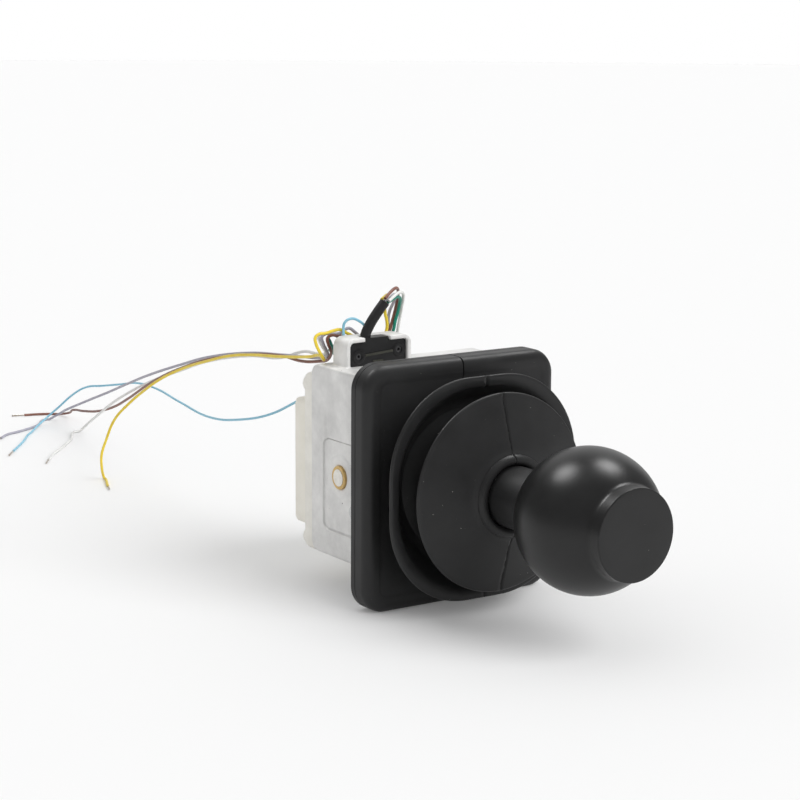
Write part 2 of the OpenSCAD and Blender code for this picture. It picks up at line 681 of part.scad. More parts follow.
module knob_insert() {
    color([0.76, 0.62, 0.35]) difference() {
        rod_y(7.5, -82, -63.5);
        rod_y(rod_r, -79, -63);
    }
}

// An arc of steps + 1 points about the point c, from the angle a0 to a1.
function arc(c, r, a0, a1, steps) = [for (i = [0:steps])
    let (a = a0 + (a1 - a0) * i / steps) c + r * [cos(a), sin(a)]];

// The ball, its flat land, the soft fillet between them, and the bores for sleeve and insert.
module knob() {
    fillet = 3.2;
    edge = 0.5;
    hub = [land_r + fillet, ball_y + sqrt(pow(ball_r + fillet, 2) - pow(land_r + fillet, 2))];
    lean = atan2(hub[1] - ball_y, hub[0]);
    color([0.21, 0.21, 0.213]) turned(concat(
        [[0, 82], [0, land_y]],
        arc([land_r - edge, land_y - edge], edge, 90, 0, 4),
        arc(hub, fillet, 180, 180 + lean, 8),
        arc([0, ball_y], ball_r, lean - 2, -acos(sleeve_r / ball_r), 44),
        [[sleeve_r, 63.5], [7.5, 63.5], [7.5, 82]]));
}

// ------------------------------------------------------- second-axis bail

module bail() {
    color([0.7, 0.68, 0.6]) at_pivot() {
        difference() {
            rod_x(bail_out, -5, 5);
            rod_x(bail_in, -6, 6);
            block(-6, 6, -20, -5, -20, 20);
            block(-spigot_r - 0.45, spigot_r + 0.45, 5, 20, -9, 9);
        }
        for (s = [0, 1]) mirror([0, 0, s]) difference() {
            rod_z(5, bail_in, bail_out + 1.6);
            rod_x(bail_in, -8, 8);
        }
        rod_z(shaft_r, bail_out, 36);
        rod_z(shaft_r, floor_z + 8.8, -bail_out);
    }
}

module magnet_z() {
    color([0.35, 0.35, 0.37]) at_pivot() rod_z(4, floor_z + 6.6, floor_z + 8.8);
}

// A closed-wound torsion spring with two straight legs, wound about its own Z axis.
function coil_path(r, h, turns, leg) = concat(
    [[r, -leg, 0]],
    [for (k = [0:turns * 12]) [r * cos(30 * k), r * sin(30 * k), h * k / (turns * 12)]],
    [[r, leg, h]]);

module spring_x() {
    color([0.6, 0.6, 0.62]) at_pivot() translate([-26.6, 0, 0]) rotate([0, 90, 0])
        tube_along(coil_path(spring_r, 7.8, 6, 4), spring_wire / 2, 6);
}

module spring_z() {
    color([0.6, 0.6, 0.62]) at_pivot() translate([0, 0, 20])
        tube_along(coil_path(spring_r, 7.8, 6, 4), spring_wire / 2, 6);
}

housing();
mounting_plate();
plate_screws();
boot_flange();
boot_outer_fold();
pivot_bushes();
bail_bushes();
rear_plate();
rear_plate_screws();
rear_box();
circuit_board();
board_parts();
sensor_x_board();
clamp_block();
clamp_bar();
clamp_screws();
turret_cap();
turret_screws();
sensor_z_board();
side_screw();
spring_x();
spring_z();
wire_sleeve();
wire_yellow();
wire_brown();
wire_grey();
wire_white();
wire_green();
wire_blue();
wire_tips();
spider();
pivot_pins();
magnet_x();
boot_inner_fold();
yoke();
cross_pin();
lever_rod();
lever_sleeve();
boot_collar();
knob_insert();
knob();
bail();
magnet_z();
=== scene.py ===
# %% [markdown]
# # A panel joystick with a ball knob
#
# This lesson dresses the imported CAD model of an industrial joystick. A die-cast box
# holds a two-axis gimbal, a black rubber boot covers the lever, and loose wires leave
# through a clamp hood on top. The CAD model is loaded first and stays where it is:
# every new piece is made around it, and most of them ride on one of its bodies.
#
# Sizes are written in millimetres, and MM turns them into Blender's metres. The lever
# points along -Y, away from the panel, and Z is up. A turned profile gives a radius and
# a distance in front of the panel, so its second number grows towards the knob.

# %% Load the frame
import json
import math
import random

import bmesh
import bpy
from mathutils import Matrix, Vector, noise


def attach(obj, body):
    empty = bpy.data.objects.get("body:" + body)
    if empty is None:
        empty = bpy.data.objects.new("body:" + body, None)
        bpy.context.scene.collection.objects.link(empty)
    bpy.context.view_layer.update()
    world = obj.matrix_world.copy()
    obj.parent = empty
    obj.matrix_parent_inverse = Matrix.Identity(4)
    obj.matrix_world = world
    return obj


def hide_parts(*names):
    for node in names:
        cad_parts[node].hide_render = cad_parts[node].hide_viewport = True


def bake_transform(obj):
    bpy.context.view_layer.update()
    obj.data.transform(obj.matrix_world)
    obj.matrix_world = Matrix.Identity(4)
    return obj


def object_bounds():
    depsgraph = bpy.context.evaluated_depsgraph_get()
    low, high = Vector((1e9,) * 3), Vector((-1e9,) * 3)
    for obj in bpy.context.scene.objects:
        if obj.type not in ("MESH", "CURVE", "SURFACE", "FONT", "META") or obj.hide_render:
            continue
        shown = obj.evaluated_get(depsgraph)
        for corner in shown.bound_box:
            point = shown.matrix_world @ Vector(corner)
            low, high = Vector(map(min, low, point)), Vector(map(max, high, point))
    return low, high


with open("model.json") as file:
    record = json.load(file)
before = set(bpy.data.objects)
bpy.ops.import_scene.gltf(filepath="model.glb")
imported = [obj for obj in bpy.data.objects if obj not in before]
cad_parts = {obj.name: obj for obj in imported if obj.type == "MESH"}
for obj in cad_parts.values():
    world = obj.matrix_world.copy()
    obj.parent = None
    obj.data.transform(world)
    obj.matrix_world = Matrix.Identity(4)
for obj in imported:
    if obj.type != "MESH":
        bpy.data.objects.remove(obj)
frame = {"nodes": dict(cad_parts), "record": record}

MM = 0.001
cad_box = [list(corner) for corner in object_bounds()]
nodes = frame["nodes"]
slot_of = {row["node"]: row["material_slot"] for row in frame["record"]["subparts"]}
print("the solids' box in mm:", [[round(c / MM, 1) for c in corner] for corner in cad_box])

# %% [markdown]
# ## The camera
#
# A product picture of a small part is taken with a long lens from about three quarters
# of a metre away, so that round things stay round. The camera is made first.

# %% The camera
CAMERA_AT = Vector((-0.45906, -0.65027, 0.17775))
CAMERA_TARGET = Vector((-0.03962, -0.02748, 0.03669))
CAMERA_ROLL = math.radians(0.33)
LENS, SENSOR_WIDTH = 99, 36

camera_data = bpy.data.cameras.new("camera")
camera_data.lens = LENS
camera_data.sensor_width = SENSOR_WIDTH
camera_data.clip_start, camera_data.clip_end = 0.01, 50
camera = bpy.data.objects.new("camera", camera_data)
bpy.context.scene.collection.objects.link(camera)
turn = (CAMERA_TARGET - CAMERA_AT).to_track_quat("-Z", "Y").to_matrix().to_4x4()
turn = turn @ Matrix.Rotation(CAMERA_ROLL, 4, "Z")
turn.translation = CAMERA_AT
camera.matrix_world = turn
bpy.context.scene.camera = camera

# %% [markdown]
# ## Helpers
#
# Every new piece starts as a curve or a bmesh. These helpers put it in the scene at the
# origin, and grow a tube ring by ring: a ring of edges is extruded, and the new ring is
# then moved to where the tube's next section belongs.


# %% Helpers that make and grow pieces
def linked(name, data):
    """A new object in the scene, at the origin."""
    obj = bpy.data.objects.new(name, data)
    bpy.context.scene.collection.objects.link(obj)
    return obj


def object_from(bm, name, smooth=True):
    """Turns a bmesh into a new object with its faces outwards."""
    bmesh.ops.recalc_face_normals(bm, faces=bm.faces)
    data = bpy.data.meshes.new(name)
    bm.to_mesh(data)
    bm.free()
    if smooth:
        data.shade_smooth()
    return linked(name, data)


def first_ring(bm, segments, radius):
    """A circle of edges, as its vertices and its edges."""
    ring = bmesh.ops.create_circle(bm, segments=segments, radius=radius)["verts"]
    return ring, list(dict.fromkeys(e for v in ring for e in v.link_edges))


def next_ring(bm, edges):
    """Extrudes a ring of edges, and gives the new ring's vertices and edges."""
    grown = bmesh.ops.extrude_edge_only(bm, edges=edges)["geom"]
    ring = [g for g in grown if isinstance(g, bmesh.types.BMVert)]
    return ring, [g for g in grown if isinstance(g, bmesh.types.BMEdge)
        and all(v in ring for v in g.verts)]


# %% [markdown]
# ## The wires
#
# Six thin signal wires leave the black sleeve, arch over, pass down behind the hood,
# loop round its left side and run backwards until they lie on the bench. Each is a
# Bezier curve with a round section, because a wire is one long bend of a constant
# thickness, and a curve keeps both the length and the section true.

# %% The wires' routes, in millimetres from the sleeve's mouth to the bare end
ROUTES = {
    "yellow": [(-15.2, 21.3, 64.3), (-12.3, 23.4, 64.9), (-9.7, 26, 64.9), (-8.3, 28.6, 63),
        (-7.9, 30.2, 60.2), (-7.2, 31, 57.4), (-6.5, 31, 54.6), (-6.3, 31, 52.2), (-7, 31, 49.7),
        (-9.7, 30.6, 47), (-14.8, 30.3, 46.3), (-19.8, 30.2, 48.7), (-22.5, 30.2, 50.2),
        (-25.1, 30.2, 51.5), (-27.5, 30.6, 52.8), (-29.6, 31.4, 52.5), (-32.7, 32, 51.7),
        (-35.5, 32.4, 51.5), (-37.1, 32.4, 50.3), (-37.1, 32, 48.2), (-35.8, 31.6, 45),
        (-33.7, 32.2, 42.2), (-31.4, 36, 41.1), (-28.5, 43, 41.4), (-26, 55, 39),
        (-21.5, 84, 34.5), (-19, 112, 31), (-18, 130, 28), (-17.5, 148, 23.5), (-15.5, 178, 15),
        (-16, 196, 8), (-16.5, 209, 1.5), (-18.5, 222, -7), (-20.5, 232, -15.5),
        (-21.5, 239, -26), (-23, 241, -33.5), (-23, 241, -39), (-20.5, 244, -44.8),
        (-26.5, 228, -44.8)],
    "brown": [(-14.7, 19.7, 64.8), (-11.1, 21.2, 66.9), (-7.7, 23.4, 67.7), (-4.6, 26.4, 66.6),
        (-2.4, 29.6, 64), (-1.6, 31.6, 60.7), (-1.9, 32.6, 56.8), (-3, 32.8, 53),
        (-4.1, 32.6, 50.1), (-5.9, 32.2, 47.2), (-9.7, 32, 45.3), (-16, 32, 45.4),
        (-21.3, 32, 48.2), (-24.8, 32, 49.6), (-27.8, 32.2, 50.3), (-29.9, 33, 50.5),
        (-31, 33.6, 49.5), (-30.3, 34.4, 47.3), (-28.3, 36, 44.8), (-25.8, 39.5, 42.4),
        (-23.8, 45.5, 38.9), (-22.7, 53, 37.2), (-22.9, 63, 35.7), (-18.5, 89, 34),
        (-15.5, 118, 30), (-13, 156, 22.5), (-9.5, 190, 13), (-6, 215, 5), (-2.5, 236, -2.5),
        (3, 265, -13.5), (8.5, 292, -22.5), (12, 315, -28.5), (16, 340, -33), (21, 362, -36.5),
        (27.5, 395, -44.8), (19.5, 400, -44.8), (11.5, 402, -44.8)],
    "grey": [(-13.8, 21.6, 63.4), (-10.1, 23, 64.4), (-6.8, 25.4, 65), (-4.6, 28.2, 63.2),
        (-4.2, 30.4, 60.6), (-3.7, 33.4, 57.2), (-3.7, 34.2, 53.6), (-3.7, 34.2, 50.6),
        (-4.6, 34, 47.6), (-7.6, 33.8, 45.2), (-13.1, 33.6, 45.7), (-16.8, 33.4, 48.7),
        (-19.5, 33.4, 51.1), (-21.5, 33.8, 52.4), (-23.1, 34.2, 51.9), (-25.1, 34.8, 50.7),
        (-28.3, 35.2, 50.6), (-30.8, 35.4, 50.8), (-32.3, 35.6, 49.7), (-31.6, 36, 47.5),
        (-29.1, 38, 44.6), (-26.1, 41.5, 41.9), (-24.4, 46, 39.9), (-23, 54, 38.4),
        (-22, 66, 37.1), (-16, 93, 33.5), (-12, 124, 29.5), (-7.5, 166, 21.5), (-1.5, 204, 12),
        (3, 242, 1.5), (8, 274, -8), (11, 302, -17), (12, 322, -23.5), (12.5, 337, -28.5),
        (13.5, 355, -34.5), (18, 385, -44.8), (4.5, 372, -44.8), (-8, 364, -44.8),
        (-16.5, 360, -44.8), (-23.5, 353, -44.8)],
    "white": [(-13.4, 19.2, 63.8), (-10.6, 20, 65.3), (-7.1, 21.6, 66.3), (-3.6, 24.4, 65.3),
        (-1.1, 28, 62.6), (0.3, 31, 59.1), (0.9, 33, 55), (0.7, 33.8, 51.4), (0.7, 34.8, 48.6),
        (-1.3, 35.8, 45.6), (-5.7, 36.6, 43.9), (-11.5, 36.8, 43.6), (-16.9, 36.8, 46),
        (-21.3, 36.8, 48.8), (-24.9, 36.8, 50.2), (-28.6, 36.8, 50.9), (-31.3, 37, 51),
        (-32.7, 37.4, 49.8), (-31.7, 38.2, 48), (-29.5, 39.6, 45.3), (-26.2, 42.8, 42.7),
        (-24.1, 47.5, 40.8), (-22.2, 56, 39.8), (-17.8, 72, 37.9), (-14, 97, 31.5),
        (-9.5, 128, 27.5), (-5.5, 170, 19), (-0.5, 206, 9), (2, 240, -1.5), (3.5, 266, -11),
        (5.5, 287, -19.5), (8, 305, -27.5), (10.5, 322, -35), (17.5, 348, -44.8),
        (3.5, 330, -44.8), (-8.5, 315, -44.8), (-18, 304, -44.8), (-25.5, 293, -44.8)],
    "green": [(-13, 20.6, 63), (-9.9, 21.6, 64), (-6.3, 24, 64.3), (-3.3, 26.8, 63),
        (-1.8, 29.4, 60.6), (-1.7, 30.6, 57.4), (-2.3, 31.4, 53.9), (-2.6, 32.2, 50.4),
        (-3.3, 33.4, 47.2), (-5.8, 35.2, 43.6), (-9.9, 37.2, 41.5), (-15.3, 38.6, 42.7),
        (-19.4, 39.2, 45.5), (-22.6, 39.4, 48.3), (-25.3, 39.4, 49.6), (-26.9, 39.4, 48.8),
        (-25.9, 40, 46.8), (-23.8, 41.8, 44.5), (-21.3, 45, 42.3), (-20.5, 49, 42), (-16, 54, 40),
        (-6, 62, 32), (-2, 70, 14), (-2, 78, -6), (2, 87, -26), (8, 99, -40), (18, 113, -44.8),
        (31, 132, -44.8), (46, 150, -44.8), (60, 170, -44.8), (70, 186, -44.8), (82, 198, -44.8)],
    "blue": [(-19.6, 24, 53.4), (-22.4, 25.2, 56.2), (-25, 26.6, 57.2), (-26.8, 28.2, 55.8),
        (-27, 29, 53), (-26.2, 29, 48), (-24, 29, 43.8), (-20, 30, 41.6), (-17, 33, 41.4),
        (-15.5, 37, 41.4), (-14.6, 44, 40.2), (-12.5, 52, 36), (-13, 64, 27), (-13.5, 75, 20),
        (-13.5, 85, 15.5), (-11, 110, 6), (-8, 140, -1.5), (0, 180, -8), (12, 230, -10.5),
        (20.5, 272, -11), (24, 298, -13), (24.5, 316, -16.5), (22.5, 332, -19.5), (20, 345, -22),
        (17.5, 354, -26.5), (13, 364, -35), (9, 370, -41), (-4, 359, -44.8), (-18.5, 338, -44.8),
        (-31, 321, -44.8)],
}
WIRE_RADIUS = {name: 0.5 if name == "blue" else 0.6 for name in ROUTES}
BARE_LENGTH = {name: 10 if name == "blue" else 7 for name in ROUTES}
WIRE_LIES_AT = -44.9  # a wire's radius above the bench

# %% [markdown]
# A smooth curve swings past the point where it lands, so a wire would dip into the
# bench there. A Bezier segment never leaves the hull of its knots and handles: lifting
# the handles that are too low is enough to keep the whole wire above the bench.


# %% Curves along the routes
def soft_curve(name, points, radius, sides=5):
    """A tube along a smooth line through points."""
    data = bpy.data.curves.new(name, "CURVE")
    data.dimensions = "3D"
    data.bevel_depth = 1  # times each knot's radius, which the bounding box counts too
    data.bevel_resolution = sides
    data.resolution_u = 10
    data.use_fill_caps = True
    spline = data.splines.new("BEZIER")
    spline.bezier_points.add(len(points) - 1)
    for knot, place in zip(spline.bezier_points, points):
        knot.co = Vector(place) * MM
        knot.radius = radius * MM
        knot.handle_left_type = knot.handle_right_type = "AUTO"
    return linked(name, data)


def keep_above(obj, lowest):
    """Lifts a curve's handles that are lower than a height."""
    for knot in obj.data.splines[0].bezier_points:
        low = [h for h in (knot.handle_left, knot.handle_right) if h.z < lowest * MM]
        if low:
            knot.handle_left_type = knot.handle_right_type = "FREE"
            for handle in low:
                handle.z = lowest * MM


def curve_length(obj):
    """The length of a curve's centreline, in metres."""
    return obj.data.splines[0].calc_length(resolution=64)


wires = {name: soft_curve("wire_" + name + "_skin", route, WIRE_RADIUS[name])
    for name, route in ROUTES.items()}
for name, wire in wires.items():
    keep_above(wire, WIRE_LIES_AT)
    print("wire", name, "is", round(curve_length(wire) / MM), "mm long")

# %% [markdown]
# The last millimetres of each wire are stripped. What shows there is a bundle of
# tinned copper strands with a slight twist: six thin threads round a seventh are swept
# along the tip, each a small ring that is extruded and turned a little at every step,
# and each strays outwards by its own amount.

# %% The bare strands
STRANDS_AROUND = 6
STRAND_RADIUS, STRAND_REACH = 0.1, 0.2
STRAND_STEPS = 14
TWIST = 0.55  # turns over the tip's length
FRAY = 0.9  # the widest stray, as a share of the reach
TUCKED_IN = 0.4


def strand_bundle(name, start, heading, length, seed):
    """Seven twisted strands from start along heading."""
    dice = random.Random(seed)
    bm = bmesh.new()
    side = heading.cross(Vector((0, 0, 1))).normalized()
    lift = side.cross(heading).normalized()
    face_ahead = heading.to_track_quat("Z", "Y").to_matrix()
    for k in range(STRANDS_AROUND + 1):
        stray = dice.uniform(0, FRAY)
        ring, edges = first_ring(bm, segments=6, radius=STRAND_RADIUS * MM)
        bmesh.ops.rotate(bm, verts=ring, matrix=face_ahead)
        previous = Vector((0, 0, 0))
        for step in range(STRAND_STEPS + 1):
            t = step / STRAND_STEPS
            angle = math.tau * (k / STRANDS_AROUND + TWIST * t)
            reach = (0 if k == STRANDS_AROUND else STRAND_REACH) * (1 + t * stray)
            place = start + heading * (length * t - TUCKED_IN) + reach * (
                math.cos(angle) * side + math.sin(angle) * lift)
            if step:
                ring, edges = next_ring(bm, edges)
            bmesh.ops.translate(bm, verts=ring, vec=(place - previous) * MM)
            previous = place
        bmesh.ops.holes_fill(bm, edges=edges, sides=6)
    return object_from(bm, name, smooth=False)


tips = {}
for seed, (name, route) in enumerate(ROUTES.items()):
    end, before = Vector(route[-1]), Vector(route[-2])
    tips[name] = strand_bundle("bare_tip_" + name, end, (end - before).normalized(),
        BARE_LENGTH[name], seed)
print("bare tips:", len(tips))

# %% Fix each wire and its bare tip to the housing in place of their solids
for name, wire in wires.items():
    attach(wire, "housing")
    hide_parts("wire_" + name)
    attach(tips[name], "housing")
    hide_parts("wire_tips")

# %% [markdown]
# ## Materials
#
# Every surface here is either rubber, moulded plastic, cast alloy, plated metal or wire
# insulation. All of them share three small-scale effects: soft patches of tone, a fine
# grain that breaks up the gloss, and a few dust specks. One node group makes the three
# masks from Object coordinates, and each material decides what to do with them.


# %% Helpers for shader nodes
def add_node(tree, kind, links=(), **values):
    """A node with its properties set, and its inputs linked from other sockets."""
    node = tree.nodes.new(kind)
    for key, value in values.items():
        if key in node.inputs.keys():
            node.inputs[key].default_value = value
        else:
            setattr(node, key, value)
    for where, source in links:
        tree.links.new(source, node.inputs[where])
    return node


def maths(tree, operation, *operands):
    """The result of a Math node whose operands are sockets or numbers."""
    node = tree.nodes.new("ShaderNodeMath")
    node.operation = operation
    for place, operand in zip(node.inputs, operands):
        if isinstance(operand, (int, float)):
            place.default_value = operand
        else:
            tree.links.new(operand, place)
    return node.outputs[0]


def mixed_tone(tree, mask, first, second):
    """The colour between first and second, each a socket or an (r, g, b) tone."""
    node = add_node(tree, "ShaderNodeMix", [(0, mask)], data_type="RGBA")
    for place, tone in zip(node.inputs[6:8], (first, second)):  # the node's two colours
        if isinstance(tone, tuple):
            place.default_value = (*tone, 1)
        else:
            tree.links.new(tone, place)
    return node.outputs[2]


def new_group(name, inputs, outputs):
    """An empty shader node group with float sockets."""
    group = bpy.data.node_groups.new(name, "ShaderNodeTree")
    for label, value in inputs:
        socket = group.interface.new_socket(label, in_out="INPUT",
            socket_type="NodeSocketFloat")
        socket.default_value = value
    for label in outputs:
        group.interface.new_socket(label, in_out="OUTPUT", socket_type="NodeSocketFloat")
    return group, group.nodes.new("NodeGroupInput"), group.nodes.new("NodeGroupOutput")


def scaled_coordinates(tree, size):
    """Object coordinates divided by a size in metres."""
    place = add_node(tree, "ShaderNodeTexCoord")
    return add_node(tree, "ShaderNodeVectorMath", [(0, place.outputs["Object"]),
        ("Scale", maths(tree, "DIVIDE", 1, size))], operation="SCALE").outputs[0]


# %% A node group with patches, grain and dust
RARITY = 6  # the higher, the fewer cells hold a speck of dust

skin_detail, entry, leave = new_group("skin_detail",
    [("Patch size", 0.006), ("Grain size", 0.0003), ("Dust spacing", 0.003),
        ("Dust amount", 0.05)],
    ["Patches", "Grain", "Dust"])
patch_at = scaled_coordinates(skin_detail, entry.outputs["Patch size"])
patch_noise = add_node(skin_detail, "ShaderNodeTexNoise", [("Vector", patch_at)], Scale=1,
    Detail=5, Roughness=0.6)
patches = add_node(skin_detail, "ShaderNodeMapRange", [("Value", patch_noise.outputs["Fac"])],
    **{"From Min": 0.32, "From Max": 0.68})
grain_at = scaled_coordinates(skin_detail, entry.outputs["Grain size"])
grain = add_node(skin_detail, "ShaderNodeTexNoise", [("Vector", grain_at)], Scale=1,
    Detail=3, Roughness=0.55)
dust_at = scaled_coordinates(skin_detail, entry.outputs["Dust spacing"])
cells = add_node(skin_detail, "ShaderNodeTexVoronoi", [("Vector", dust_at)], Scale=1)
chance = add_node(skin_detail, "ShaderNodeSeparateColor", [("Color", cells.outputs["Color"])])
luck = maths(skin_detail, "POWER", chance.outputs[0], RARITY)
speck = maths(skin_detail, "MULTIPLY", luck, entry.outputs["Dust amount"])
dust = maths(skin_detail, "LESS_THAN", cells.outputs["Distance"], speck)
skin_detail.links.new(patches.outputs["Result"], leave.inputs["Patches"])
skin_detail.links.new(grain.outputs["Fac"], leave.inputs["Grain"])
skin_detail.links.new(dust, leave.inputs["Dust"])
print("node group:", skin_detail.name)

# %% [markdown]
# A finish is two tones, a range of roughness and a few sizes. The tones and the
# roughness vary in the same patches, and the grain is a shallow bump, so that even a
# black part isn't one flat value.

# %% One recipe for all finishes
FINISH = {}


def finish(name, low, high, rough, metal=0.0, specular=0.5, patch=6.0, grain=0.3, bump=0.02,
        dust=0.0, dust_tone=(0.35, 0.34, 0.32), dust_spacing=3.0):
    """Adds a Principled material to FINISH. patch, grain, bump and dust_spacing are in mm."""
    material = FINISH[name] = bpy.data.materials.new(name)
    material.use_nodes = True
    tree = material.node_tree
    shader = tree.nodes["Principled BSDF"]
    detail = tree.nodes.new("ShaderNodeGroup")
    detail.node_tree = skin_detail
    for label, value in (("Patch size", patch * MM), ("Grain size", grain * MM),
            ("Dust spacing", dust_spacing * MM), ("Dust amount", dust)):
        detail.inputs[label].default_value = value
    tone = mixed_tone(tree, detail.outputs["Patches"], low, high)
    if dust:
        tone = mixed_tone(tree, detail.outputs["Dust"], tone, dust_tone)
    tree.links.new(tone, shader.inputs["Base Color"])
    gloss = add_node(tree, "ShaderNodeMapRange", [("Value", detail.outputs["Patches"])],
        **{"To Min": rough[0], "To Max": rough[1]})
    tree.links.new(gloss.outputs["Result"], shader.inputs["Roughness"])
    relief = add_node(tree, "ShaderNodeBump", [("Height", detail.outputs["Grain"])],
        Strength=1, Distance=bump * MM)
    tree.links.new(relief.outputs["Normal"], shader.inputs["Normal"])
    shader.inputs["Metallic"].default_value = metal
    shader.inputs["Specular IOR Level"].default_value = specular


# %% Finishes of the metal parts
finish("cast_alloy", (0.62, 0.615, 0.605), (0.84, 0.835, 0.82), (0.45, 0.65), metal=0.2,
    patch=13, grain=0.35, bump=0.03, dust=0.12, dust_tone=(0.2, 0.19, 0.18), dust_spacing=2.2)
finish("cover_alloy", (0.8, 0.78, 0.72), (0.9, 0.88, 0.82), (0.5, 0.65), grain=0.35,
    bump=0.025)
finish("zinc_steel", (0.5, 0.51, 0.52), (0.62, 0.62, 0.61), (0.3, 0.42), metal=0.9, patch=5,
    grain=0.2, bump=0.006)
finish("bush_brass", (0.5, 0.33, 0.11), (0.74, 0.53, 0.24), (0.35, 0.5), metal=0.6, patch=2,
    grain=0.2, bump=0.01)
finish("dark_screw", (0.1, 0.1, 0.105), (0.16, 0.16, 0.165), (0.35, 0.5), metal=0.7,
    patch=2, grain=0.15, bump=0.01)
finish("spring_steel", (0.4, 0.4, 0.41), (0.55, 0.55, 0.56), (0.25, 0.4), metal=1, patch=2,
    grain=0.1, bump=0.004)
finish("pin_steel", (0.74, 0.71, 0.65), (0.86, 0.84, 0.79), (0.35, 0.5), metal=0.4,
    patch=1.5, grain=0.2, bump=0.01)
finish("magnet", (0.2, 0.2, 0.21), (0.28, 0.28, 0.29), (0.3, 0.45), metal=0.9, patch=2,
    grain=0.2, bump=0.006)

# %% Finishes of the rubber and plastic parts
finish("boot_rubber", (0.015, 0.015, 0.0154), (0.021, 0.021, 0.0214), (0.4, 0.52),
    specular=0.33, patch=14, grain=0.25, bump=0.012, dust=0.08, dust_spacing=1.7)
finish("knob_plastic", (0.011, 0.011, 0.0112), (0.015, 0.015, 0.0152), (0.32, 0.38),
    specular=0.34, patch=18, grain=0.18, bump=0.006, dust=0.05, dust_spacing=1.8)
finish("sleeve_plastic", (0.009, 0.009, 0.0094), (0.013, 0.013, 0.0135), (0.45, 0.58),
    patch=8, grain=0.2, bump=0.01, dust=0.06, dust_spacing=1.7)
finish("sleeve_black", (0.009, 0.009, 0.01), (0.015, 0.015, 0.016), (0.45, 0.6), patch=3,
    bump=0.015)
finish("black_plastic", (0.008, 0.008, 0.0085), (0.014, 0.014, 0.015), (0.4, 0.55),
    patch=3, grain=0.2, bump=0.01)
finish("bar_grey", (0.03, 0.03, 0.024), (0.05, 0.05, 0.04), (0.5, 0.6), patch=2, grain=0.2,
    bump=0.01)
finish("box_cream", (0.84, 0.81, 0.72), (0.92, 0.89, 0.81), (0.45, 0.55), patch=12,
    grain=0.5, bump=0.012, dust=0.1, dust_tone=(0.4, 0.38, 0.33))
finish("board_green", (0.01, 0.09, 0.04), (0.02, 0.13, 0.06), (0.3, 0.4), patch=3,
    bump=0.01)

# %% Finishes of the wires
for name, low, high in (("wire_yellow", (0.78, 0.56, 0.03), (0.86, 0.68, 0.08)),
        ("wire_brown", (0.17, 0.065, 0.045), (0.26, 0.12, 0.09)),
        ("wire_grey", (0.34, 0.33, 0.4), (0.45, 0.44, 0.5)),
        ("wire_white", (0.72, 0.72, 0.7), (0.82, 0.82, 0.8)),
        ("wire_green", (0.006, 0.2, 0.14), (0.015, 0.28, 0.2)),
        ("wire_blue", (0.2, 0.5, 0.66), (0.3, 0.6, 0.74))):
    finish(name, low, high, (0.38, 0.5), specular=0.4, patch=4, grain=0.5, bump=0.004)
finish("tinned_copper", (0.5, 0.42, 0.34), (0.66, 0.62, 0.56), (0.28, 0.4), metal=1,
    patch=1, grain=0.1, bump=0.004)
print("finishes:", len(FINISH))


# %% Give every solid and every wire its finish
def dress(obj, slot):
    """The finish of a slot on all of an object's faces."""
    if not obj.material_slots:
        obj.data.materials.append(FINISH[slot])
    for place in obj.material_slots:
        place.material = FINISH[slot]


for node_name, solid in nodes.items():
    dress(solid, slot_of[node_name])
for name, wire in wires.items():
    dress(wire, "wire_" + name)
    dress(tips[name], "tinned_copper")

# %% [markdown]
# ## The knob
#
# The knob is turned from one profile: a ball, a flat land on its front, and a soft
# fillet between the two. `bmesh.ops.spin` sweeps the profile round the lever, which is
# how a lathe or a mould cavity makes it, and 160 steps keep the silhouette round.


# %% Helpers for turned pieces and for what they stand for
def turned(name, profile, steps=128, closed=False):
    """Spins a profile of (radius, distance in front) round the lever's axis."""
    bm = bmesh.new()
    line_verts = [bm.verts.new((r * MM, -y * MM, 0)) for r, y in profile]
    rows = list(zip(line_verts, line_verts[1:]))
    if closed:
        rows.append((line_verts[-1], line_verts[0]))
    edges = [bm.edges.new(pair) for pair in rows]
    bmesh.ops.spin(bm, geom=line_verts + edges, cent=(0, 0, 0), axis=(0, 1, 0), angle=math.tau,
        steps=steps, use_merge=True)
    bmesh.ops.remove_doubles(bm, verts=bm.verts, dist=1e-6)
    return object_from(bm, name)


def arc(centre, radius, start, end, steps):
    """Points of an arc in the profile's plane, angles in degrees."""
    angles = [math.radians(start + (end - start) * k / steps) for k in range(steps + 1)]
    return [(centre[0] + radius * math.cos(a), centre[1] + radius * math.sin(a))
        for a in angles]


def stand_in(obj, slot, *solids):
    """Dresses a finished piece that is shown in place of solids."""
    dress(obj, slot)
    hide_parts(*solids)


def replace_with(obj, body, slot, *solids):
    """Dresses a finished piece and fixes it to its body in place of solids."""
    stand_in(obj, slot, *solids)
    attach(obj, body)


# %% The knob
BALL_Y, BALL_R = 83.8, 25.6
LAND_Y, LAND_R = 108.9, 16.2
FILLET, EDGE = 3.2, 0.5
SLEEVE_R, SLEEVE_END = 11.2, 63.5
MOUTH_GAP = 0.5  # from the sleeve to the rim of the ball's mouth

